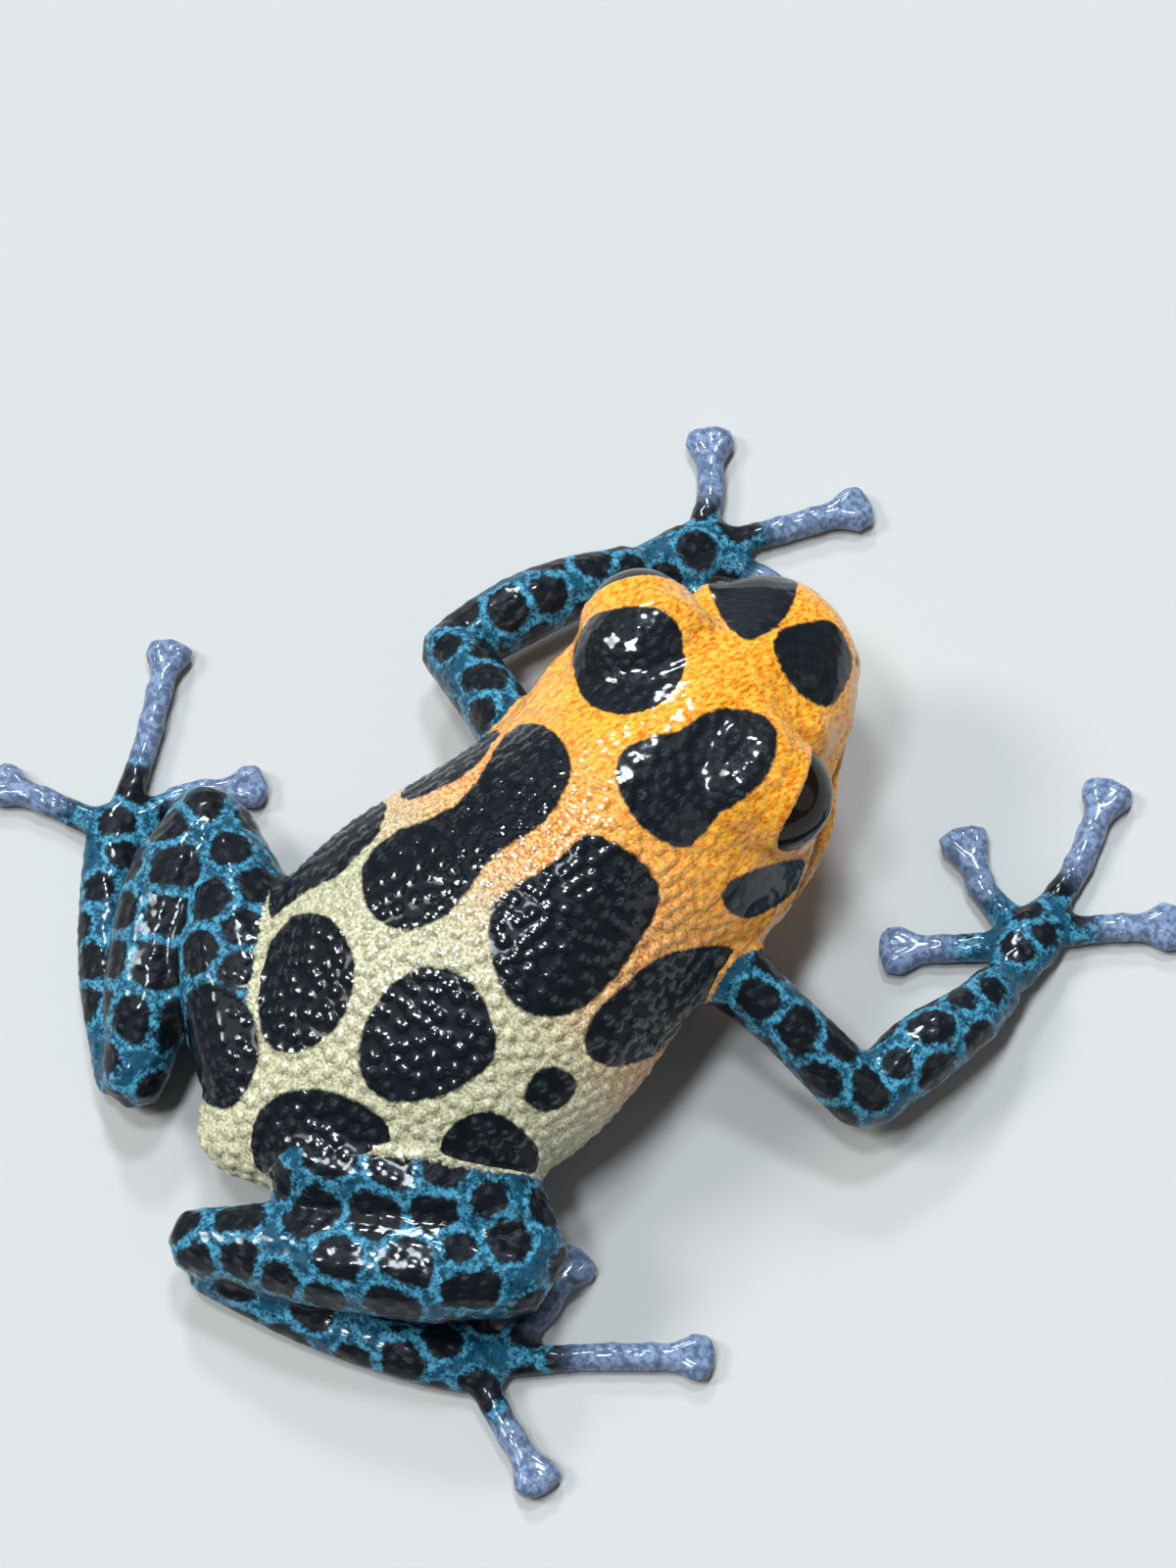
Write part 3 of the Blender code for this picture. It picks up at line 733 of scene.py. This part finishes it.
def outline_distance(pixels, line):
    """How far each pixel is from a closed line, below zero inside it."""
    nearest = np.full(len(pixels), 1e9)
    crossings = np.zeros(len(pixels), int)
    for a, b in zip(line, np.roll(line, -1, 0)):
        side = b - a
        t = np.clip(((pixels - a) @ side) / max(side @ side, 1e-9), 0, 1)
        nearest = np.minimum(nearest, np.linalg.norm(pixels - a - t[:, None] * side, axis=1))
        level = (a[1] > pixels[:, 1]) != (b[1] > pixels[:, 1])
        if level.any():
            reach = a[0] + (pixels[:, 1] - a[1]) / (b[1] - a[1] + 1e-12) * side[0]
            crossings += level & (pixels[:, 0] < reach)
    return np.where(crossings % 2 == 1, -nearest, nearest)


print("blotches in the photo", len(BLOTCHES))

# %% [markdown]
# ## Lay the blotches on the skin
#
# Pixels become millimetres by each point's depth. Where the skin turns away from the camera one pixel
# covers a long stretch of it, and a blotch would run down the side as a streak. So the distance grows
# there, and it grows again outside a ball round the blotch's middle. A few blotches need a wider or
# a narrower bound than the rest.

# %% Carry the outlines to the skin
TURNED_AWAY, USUALLY_AWAY = {"left lid": 1.2}, 2.6
AROUND, USUALLY_AROUND = {"left lid": 1.05, "right lid": 1.1, "rear": 0.85, "right rump": 0.8}, 1.4
FAR_OFF, DEEPEST, MARGIN = 3.0, -1.0, 60
TURNS_AWAY, LEAST_FACING = 0.25, 0.3
OFF_THE_LIMBS = 1.5
skin_tree = BVHTree.FromObject(skin, bpy.context.evaluated_depsgraph_get())
pixels, depth = in_photo(base_points)
to_camera = CAMERA_MM - base_points
facing = (base_normals * to_camera).sum(1) / np.linalg.norm(to_camera, axis=1)
facing = spread(spread(spread(facing)))
blotch = np.full(len(skin_points), FAR_OFF)
for name, outline in BLOTCHES.items():
    line = closed_curve(outline)
    near = ((pixels > line.min(0) - MARGIN) & (pixels < line.max(0) + MARGIN)).all(1)
    found = outline_distance(pixels[near], line) * depth[near] / PIXELS
    found = found / np.clip(facing[near], LEAST_FACING, 1)
    found = np.maximum(found, DEEPEST)
    found = found + TURNED_AWAY.get(name, USUALLY_AWAY) * np.clip(TURNS_AWAY - facing[near], 0, 1)
    centre, _, _, far = skin_tree.ray_cast(Vector(CAMERA_MM), ray(line.mean(0)))
    radius = np.linalg.norm(line - line.mean(0), axis=1).max() * far / PIXELS
    away = np.linalg.norm(base_points[near] - np.array(centre), axis=1)
    found = found + 2 * np.clip(away - AROUND.get(name, USUALLY_AROUND) * radius, 0, 2)
    if name != "left hip":
        found = found + OFF_THE_LIMBS * limb[near]
    blotch[near] = np.minimum(blotch[near], found)
print("share under blotches", round(float((blotch < 0).mean()), 3))

# %% [markdown]
# ## Blotches that the photo doesn't show
#
# The species carries the same round marks down its sides, on the throat and round the jaw. They are
# placed as balls that touch the skin, in places that carry on the pattern of the side that shows.

# %% Blotches on the far side and below
HIDDEN_BLOTCHES = (
    (4.3, -6.1, 4.0, 0.62), (3.9, -3.2, 2.2, 0.8), (4.6, -0.4, 1.9, 0.95), (3.2, -10.1, 3.3, 0.5),
    (-1.9, -10.0, 3.0, 0.45), (-3.5, -6.9, 2.4, 0.5), (-4.0, -1.2, 1.7, 0.75),
    (1.2, -10.1, 2.7, 0.5), (2.4, -8.2, 2.2, 0.62), (-0.8, -8.4, 2.2, 0.66), (0.8, -6.6, 1.7, 0.6),
    (2.9, -6.2, 2.0, 0.5), (-2.2, -6.3, 1.9, 0.55), (0.3, 6.1, 1.3, 0.7),
)
for bx, by, bz, size in HIDDEN_BLOTCHES:
    away = np.linalg.norm(base_points - np.array([bx, by, bz]), axis=1) - size
    blotch = np.minimum(blotch, away + OFF_THE_LIMBS * limb)
print("with the hidden ones", round(float((blotch < 0).mean()), 3))

# %% [markdown]
# ## The net of the limbs and belly
#
# On the limbs round black spots sit close together and leave a turquoise net between them. The
# photo's larger spots are given by pixel and radius. The rest are scattered with the same spacing.
# Every point then knows how far it lies outside the nearest spot, and how near it is to the middle
# of the line between two of them, which is never covered. The belly carries the net too, up to a
# wavy border at the throat.

# %% Spots on the limbs
NET_LINE = 0.19
SPOT_GROWTH, SPOT_APART, SPOT_SIZES = 1.45, 0.92, (0.42, 0.6)
FROM_GIVEN = 0.95
NET_SPOTS = (
    (205, 815, 24), (172, 840, 18), (180, 885, 26), (235, 865, 16), (125, 930, 16), (172, 933, 18),
    (160, 985, 25), (105, 1025, 22), (180, 1045, 26), (175, 1100, 20), (110, 1080, 12), (215, 920, 20),
    (205, 970, 20), (120, 840, 14), (125, 870, 12), (100, 905, 12), (245, 1240, 20), (318, 1238, 22),
    (385, 1243, 22), (445, 1240, 20), (515, 1262, 20), (418, 1285, 25), (400, 1335, 22), (480, 1315, 22),
    (545, 1335, 18), (470, 1272, 12), (500, 1225, 14), (200, 1290, 18), (215, 1215, 16), (345, 1285, 18),
    (450, 1365, 16), (410, 1388, 18), (360, 1388, 14), (465, 627, 18), (522, 620, 18), (560, 605, 15),
    (605, 572, 15), (500, 690, 26), (455, 660, 12), (490, 730, 14), (712, 560, 16), (815, 1053, 20),
    (840, 1105, 20), (888, 1108, 20), (915, 1085, 12), (950, 1045, 20), (955, 1095, 20), (985, 1015, 14),
    (1010, 1010, 12), (1040, 965, 14), (1050, 930, 12), (1065, 950, 12),
)
places, sizes = [], []
for px, py, radius in NET_SPOTS:
    hit = skin_tree.ray_cast(Vector(CAMERA_MM), ray((px, py)))
    if hit[0] is not None:
        places.append(list(hit[0]))
        sizes.append(SPOT_GROWTH * radius * hit[3] / PIXELS)
by_hand = len(places)
given = tree_of(places)
throat_end = y + 0.6 * np.sin(1.9 * x + 0.8) + 0.35 * np.sin(4.3 * x + 2.0)
net = np.clip(limb + body * under * rise(throat_end, -5.5, -4.6), 0, 1)
hidden = np.array([given.find(p)[2] for p in base_points.tolist()]) > FROM_GIVEN
spacing = np.full(len(skin_points), SPOT_APART)
on_net = (net > 0.6) & (digit < 0.4)
for i in scattered(skin_points, spacing, hidden & on_net):
    places.append(base_points[i].tolist())
    sizes.append(RANDOM.uniform(*SPOT_SIZES))
spot_tree = tree_of(places)
nearest = [spot_tree.find_n(p, 2) for p in base_points.tolist()]
first = np.array([n[0][2] - sizes[n[0][1]] for n in nearest])
between = np.array([n[1][2] - n[0][2] for n in nearest])
spots = np.minimum(np.maximum(first, (NET_LINE - between) / 2), 2.0)
print("spots", by_hand, "by hand,", len(places) - by_hand, "scattered")

# %% [markdown]
# ## Hand the fields to the material
#
# Each field becomes a point attribute of the finished skin. The piece is taken back to metres,
# shaded smooth and hung on the root body, and every node but the eyes is hidden.

# %% Finish the skin piece
FULL_BEAD = 0.035
TAN_TO_CREAM = (-5.2, 1.0)
fields = {
    "blotch": blotch,
    "spots": spots,
    "between": between,
    "net": net,
    "head": head,
    "limb": limb,
    "digit": digit,
    "pale": rise(y, *TAN_TO_CREAM),
    # Painted shade: the colour is darkened where the nostril pits and the mouth groove lie.
    "dark": np.clip(pit + 0.9 * mouth, 0, 1),
    "to_grain": to_grain,
    "beaded": np.minimum(height / FULL_BEAD, 1) * keep,
}
for name, values in fields.items():
    attribute = skin.data.attributes.new(name, "FLOAT", "POINT")
    attribute.data.foreach_set("value", values.astype(np.float32))
attribute = skin.data.attributes.new("grain_way", "FLOAT_VECTOR", "POINT")
attribute.data.foreach_set("vector", grain_way.astype(np.float32).ravel())
skin.data.transform(Matrix.Scale(MM, 4))
only(skin)
bpy.ops.object.shade_smooth()
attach(skin, "root")
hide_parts(*[name for name in frame["nodes"] if not name.startswith("eye")])
print("skin", len(skin.data.polygons), "faces")

# %% [markdown]
# ## A few helpers for materials
#
# A material is a small graph of nodes. These helpers keep each step of it on one readable line: they
# add a node, mix two colours, turn a number into a soft edge, do a sum, read one of the skin's
# fields, make noise, and fray an edge with it.

# %% Material helpers


def new_material(name):
    """A material, its tree and its shader."""
    made = bpy.data.materials.new(name)
    made.use_nodes = True
    return made, made.node_tree, made.node_tree.nodes["Principled BSDF"]


def add(tree, kind, inputs=None, **settings):
    """One node, with each input linked to a socket or set to a value."""
    made = tree.nodes.new("ShaderNode" + kind)
    for key, value in settings.items():
        setattr(made, key, value)
    for key, value in (inputs or {}).items():
        if isinstance(value, bpy.types.NodeSocket):
            tree.links.new(value, made.inputs[key])
        else:
            made.inputs[key].default_value = value
    return made


def mixed(tree, share, first, second):
    """Goes from the first colour to the second as share goes from 0 to 1."""
    ends = [end if isinstance(end, bpy.types.NodeSocket) else (*end, 1) for end in (first, second)]
    return add(tree, "Mix", {0: share, 6: ends[0], 7: ends[1]}, data_type="RGBA").outputs[2]


def soft_step(tree, value, low, high):
    """0 while the value is below low, 1 above high."""
    return add(tree, "MapRange", {0: value, 1: low, 2: high}, interpolation_type="SMOOTHSTEP").outputs[0]


def sums(tree, kind, first, second):
    """One step of arithmetic."""
    return add(tree, "Math", {0: first, 1: second}, operation=kind).outputs[0]


def field(tree, name):
    """One of the numbers that the piece carries at its points."""
    return add(tree, "Attribute", attribute_name=name).outputs["Fac"]


def noise(tree, size_mm, detail=2.0, roughness=0.5):
    """Noise on the object's own coordinates, with lumps of about that size."""
    place = add(tree, "TexCoord").outputs["Object"]
    lumps = {"Vector": place, "Scale": 1 / (size_mm * MM), "Detail": detail, "Roughness": roughness}
    return add(tree, "TexNoise", lumps).outputs[0]


def frayed(tree, value, grain, amount):
    """The value pushed up and down by a noise, so that an edge drawn at it turns ragged."""
    ragged = sums(tree, "MULTIPLY", sums(tree, "SUBTRACT", grain, 0.5), amount)
    return sums(tree, "ADD", value, ragged)


# %% [markdown]
# ## The wet skin
#
# Underneath all is a wash that goes from orange on the head through tan to pale cream on the rump,
# broken by fine golden grain. The net of the limbs is sky blue close round each spot and turns to a
# deep, speckled turquoise further off, and the digits are lilac. Blotches and spots are near-black
# with a grainy edge. Shade is painted into the nostril pits and the groove of the mouth as a dark brown.

# %% Mix the colours
ORANGE, GOLD, RUST = (0.80, 0.24, 0.006), (0.86, 0.44, 0.045), (0.60, 0.14, 0.003)
TAN, CREAM, OLIVE = (0.80, 0.46, 0.17), (0.62, 0.56, 0.38), (0.29, 0.28, 0.15)
TURQUOISE, SKY, INK = (0.006, 0.06, 0.105), (0.065, 0.28, 0.41), (0.003, 0.020, 0.036)
LILAC, SLATE = (0.20, 0.26, 0.39), (0.08, 0.115, 0.19)
# The second colour here is painted shade, laid into the mouth groove and the nostril pits.
BLACK, PAINTED_SHADE_BROWN = (0.003, 0.005, 0.008), (0.02, 0.012, 0.008)
FLAKE_SCALE = (14000, 6000, 9000)  # per metre, so that the flakes of gold are longer than wide

material, tree, shader = new_material("wet frog skin")
fine = noise(tree, 0.16, 3, 0.6)
finer = noise(tree, 0.07, 2, 0.6)
broad = noise(tree, 0.9, 2)
place = add(tree, "TexCoord").outputs["Object"]
place = add(tree, "Mapping", {"Vector": place, "Scale": FLAKE_SCALE}).outputs[0]
flakes = add(tree, "TexNoise", {"Vector": place, "Scale": 1.0, "Detail": 2.0, "Roughness": 0.6}).outputs[0]
head_colour = mixed(tree, soft_step(tree, flakes, 0.40, 0.62), ORANGE, GOLD)
head_colour = mixed(tree, soft_step(tree, flakes, 0.34, 0.44), RUST, head_colour)
back_colour = mixed(tree, soft_step(tree, finer, 0.35, 0.62), OLIVE, CREAM)
tan_colour = mixed(tree, soft_step(tree, finer, 0.38, 0.6), RUST, TAN)
back_colour = mixed(tree, soft_step(tree, field(tree, "pale"), 0.2, 1.0), tan_colour, back_colour)
ground = mixed(tree, field(tree, "head"), back_colour, head_colour)

speckle = sums(tree, "ADD", fine, sums(tree, "MULTIPLY", field(tree, "between"), -0.22))
speckle = soft_step(tree, speckle, 0.26, 0.44)
outward = sums(tree, "MAXIMUM", sums(tree, "SUBTRACT", field(tree, "spots"), 0.08), 0.0)
crackle = sums(tree, "MULTIPLY", sums(tree, "ADD", fine, finer), 0.5)
mottle = sums(tree, "SUBTRACT", crackle, sums(tree, "MULTIPLY", outward, 0.9))
net_colour = mixed(tree, soft_step(tree, mottle, 0.40, 0.60), TURQUOISE, SKY)
net_colour = mixed(tree, speckle, INK, net_colour)
spot_edge = frayed(tree, field(tree, "spots"), fine, 0.22)
net_colour = mixed(tree, soft_step(tree, spot_edge, -0.05, 0.06), BLACK, net_colour)
digit_colour = mixed(tree, soft_step(tree, fine, 0.4, 0.62), SLATE, LILAC)
net_colour = mixed(tree, field(tree, "digit"), net_colour, digit_colour)
net_edge = frayed(tree, field(tree, "net"), fine, 0.6)
ground = mixed(tree, soft_step(tree, net_edge, 0.42, 0.58), ground, net_colour)

blotch_edge = frayed(tree, field(tree, "blotch"), fine, 0.18)
off_blotch = soft_step(tree, blotch_edge, -0.05, 0.05)
ground = mixed(tree, off_blotch, BLACK, ground)
# Painted shade: the nostril pits and the groove of the mouth are coloured a near-black brown.
ground = mixed(tree, field(tree, "dark"), ground, PAINTED_SHADE_BROWN)
tree.links.new(ground, shader.inputs["Base Color"])
print("skin material", len(tree.nodes), "nodes so far")

# %% [markdown]
# ## Gloss and relief of the skin
#
# The frog is wet, so a clear coat lies over the colour. It is thick on top of each grain and thin in
# the valleys between, so every lamp shows as round glints that stay apart, and it is thinner on the
# limbs. A bump raises each grain a little more than the mesh does, and a fine noise crinkles the
# pale skin more than the smooth dark blotches.

# %% Gloss and grain of the skin
BEAD_WIDE, BEAD_HIGH, RELIEF = 0.155, 1.9, 0.03 * MM
VALLEY_DRY, LIMB_DRY = 0.85, 0.4
wetness = soft_step(tree, broad, 0.35, 0.7)
gloss = add(tree, "MapRange", {0: wetness, 3: 0.5, 4: 0.34}).outputs[0]
tree.links.new(gloss, shader.inputs["Roughness"])
shader.inputs["Coat Roughness"].default_value = 0.1
shader.inputs["Coat IOR"].default_value = 1.5
shader.inputs["Specular IOR Level"].default_value = 0.12
way = add(tree, "Attribute", attribute_name="grain_way").outputs["Vector"]
reach = add(tree, "VectorMath", {0: way}, operation="LENGTH").outputs["Value"]
reach = sums(tree, "MAXIMUM", reach, sums(tree, "MULTIPLY", field(tree, "to_grain"), 0.85))
bead = sums(tree, "MULTIPLY", reach, 1 / BEAD_WIDE)
bead = sums(tree, "MAXIMUM", sums(tree, "SUBTRACT", 1.0, sums(tree, "MULTIPLY", bead, bead)), 0.0)
valley = sums(tree, "MULTIPLY", soft_step(tree, bead, 0.55, 0.1), field(tree, "beaded"))
coat = sums(tree, "SUBTRACT", 1.0, sums(tree, "MULTIPLY", valley, VALLEY_DRY))
limb_coat = sums(tree, "SUBTRACT", 1.0, sums(tree, "MULTIPLY", field(tree, "limb"), LIMB_DRY))
tree.links.new(sums(tree, "MULTIPLY", coat, limb_coat), shader.inputs["Coat Weight"])
bead = sums(tree, "MULTIPLY", bead, field(tree, "beaded"))
crinkle = add(tree, "MapRange", {0: off_blotch, 3: 0.06, 4: 0.3}).outputs[0]
crinkle = sums(tree, "MULTIPLY", sums(tree, "ADD", finer, flakes), crinkle)
relief = sums(tree, "ADD", sums(tree, "MULTIPLY", bead, BEAD_HIGH), crinkle)
relief = add(tree, "Bump", {"Height": relief, "Strength": 1.0, "Distance": RELIEF}).outputs[0]
tree.links.new(relief, shader.inputs["Normal"])
skin.data.materials.clear()
skin.data.materials.append(material)
print("skin material", len(tree.nodes), "nodes")

# %% [markdown]
# ## The eyes
#
# A poison frog's eye is so dark that iris and pupil can hardly be told apart: a black ball with a
# brown sheen and a clear, slightly bulging front. Each eye starts as a sphere primitive turned so
# that its pole looks out, and its front is drawn out into the cornea in edit mode.

# %% Model and paint the eyes
CORNEA, CORNEA_FROM = 1.05, 0.75
PUPIL_WIDE, PUPIL_HIGH = 0.42, 0.3
PUPIL, IRIS, STREAK = (0.0015, 0.0015, 0.002), (0.007, 0.004, 0.0025), (0.028, 0.014, 0.006)
eye_material, tree, shader = new_material("dark eye")
iris = mixed(tree, soft_step(tree, field(tree, "iris"), 0.1, 0.9), PUPIL, IRIS)
streaks = soft_step(tree, noise(tree, 0.12, 3, 0.7), 0.5, 0.7)
iris = mixed(tree, sums(tree, "MULTIPLY", streaks, field(tree, "iris")), iris, STREAK)
tree.links.new(iris, shader.inputs["Base Color"])
shader.inputs["Roughness"].default_value = 0.08
shader.inputs["Specular IOR Level"].default_value = 0.3
for name, eye in eyes.items():
    bpy.ops.object.select_all(action="DESELECT")
    bpy.ops.mesh.primitive_uv_sphere_add(segments=64, ring_count=48, radius=eye["radius"], location=(0, 0, 0))
    ball = bpy.context.object
    ball.name = name + "_ball"
    turn = Matrix((eye["along"], eye["up"], eye["axis"])).transposed().to_4x4()
    if turn.determinant() < 0:
        turn = Matrix((-eye["along"], eye["up"], eye["axis"])).transposed().to_4x4()
    bpy.ops.object.mode_set(mode="EDIT")
    bpy.ops.mesh.select_all(action="DESELECT")
    bpy.ops.object.mode_set(mode="OBJECT")
    for v in ball.data.vertices:
        v.select = bool(v.co.z > CORNEA_FROM * eye["radius"])
    bpy.ops.object.mode_set(mode="EDIT")
    bpy.ops.transform.resize(value=(1, 1, CORNEA))
    bpy.ops.object.mode_set(mode="OBJECT")
    place = points_of(ball) / eye["radius"]
    pupil = np.hypot(place[:, 0] / PUPIL_WIDE, place[:, 1] / PUPIL_HIGH)
    rim = 1 - rise(np.hypot(place[:, 0], place[:, 1]), 0.82, 0.95)
    ring = rise(pupil, 0.9, 1.1) * (place[:, 2] > 0) * rim
    attribute = ball.data.attributes.new("iris", "FLOAT", "POINT")
    attribute.data.foreach_set("value", ring.astype(np.float32))
    ball.data.transform(Matrix.Scale(MM, 4) @ Matrix.Translation(eye["centre"]) @ turn)
    bpy.ops.object.shade_smooth()
    ball.data.materials.append(eye_material)
    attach(ball, "root")
    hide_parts(name)
    print(name, "at", eye["centre"].round(2), "radius", round(eye["radius"], 2))

# %% [markdown]
# ## Floor and light
#
# The floor is plain and pale, and all lamps are far off, so that they light it evenly. One soft lamp
# from the picture's upper left is the main light. Four small ones stand where the wet back mirrors
# them to the camera, which gives the photo's glints. A broad weak one on the other side and a dim
# sky fill the shadows.

# %% Floor, lamps and sky
FLOOR_COLOUR = (0.47, 0.45, 0.43, 1)
MAIN_LAMP = (132, 45, 15, 1.4)
GLINT_LAMPS = ((60, 40), (42, 62), (115, 80), (172, 70))
GLINT_WIDE, GLINT_STRENGTH, GLINT_COLOUR = 8.5, 1.25, (0.8, 0.92, 1.0)
FILL_LAMP = (300, 30, 47, 0.25)
SKY_STRENGTH = 0.13
bpy.ops.mesh.primitive_plane_add(size=3, location=(0, 0, 0))
floor = bpy.context.object
floor.name = "floor"
floor_material, tree, shader = new_material("pale floor")
shader.inputs["Base Color"].default_value = FLOOR_COLOUR
shader.inputs["Roughness"].default_value = 0.8
floor.data.materials.append(floor_material)


def lamp(azimuth, elevation, wide, strength, colour=(1, 1, 1)):
    """A far round lamp, so wide in degrees, that lights frog and floor from one direction."""
    a, e = math.radians(azimuth), math.radians(elevation)
    way = Vector((math.sin(a) * math.cos(e), -math.cos(a) * math.cos(e), math.sin(e)))
    bpy.ops.object.light_add(type="SUN", location=way, rotation=way.to_track_quat("Z", "Y").to_euler())
    made = bpy.context.object
    made.data.angle, made.data.energy, made.data.color = math.radians(wide), strength, colour


lamp(*MAIN_LAMP)
for azimuth, elevation in GLINT_LAMPS:
    lamp(azimuth, elevation, GLINT_WIDE, GLINT_STRENGTH, GLINT_COLOUR)
lamp(*FILL_LAMP, (0.93, 0.96, 1.0))
world = bpy.data.worlds.new("sky")
bpy.context.scene.world = world
bpy.context.scene.view_settings.view_transform = "Standard"
world.use_nodes = True
background = world.node_tree.nodes["Background"]
background.inputs["Color"].default_value = (0.95, 0.97, 1.0, 1)
background.inputs["Strength"].default_value = SKY_STRENGTH
print("lamps", 2 + len(GLINT_LAMPS))
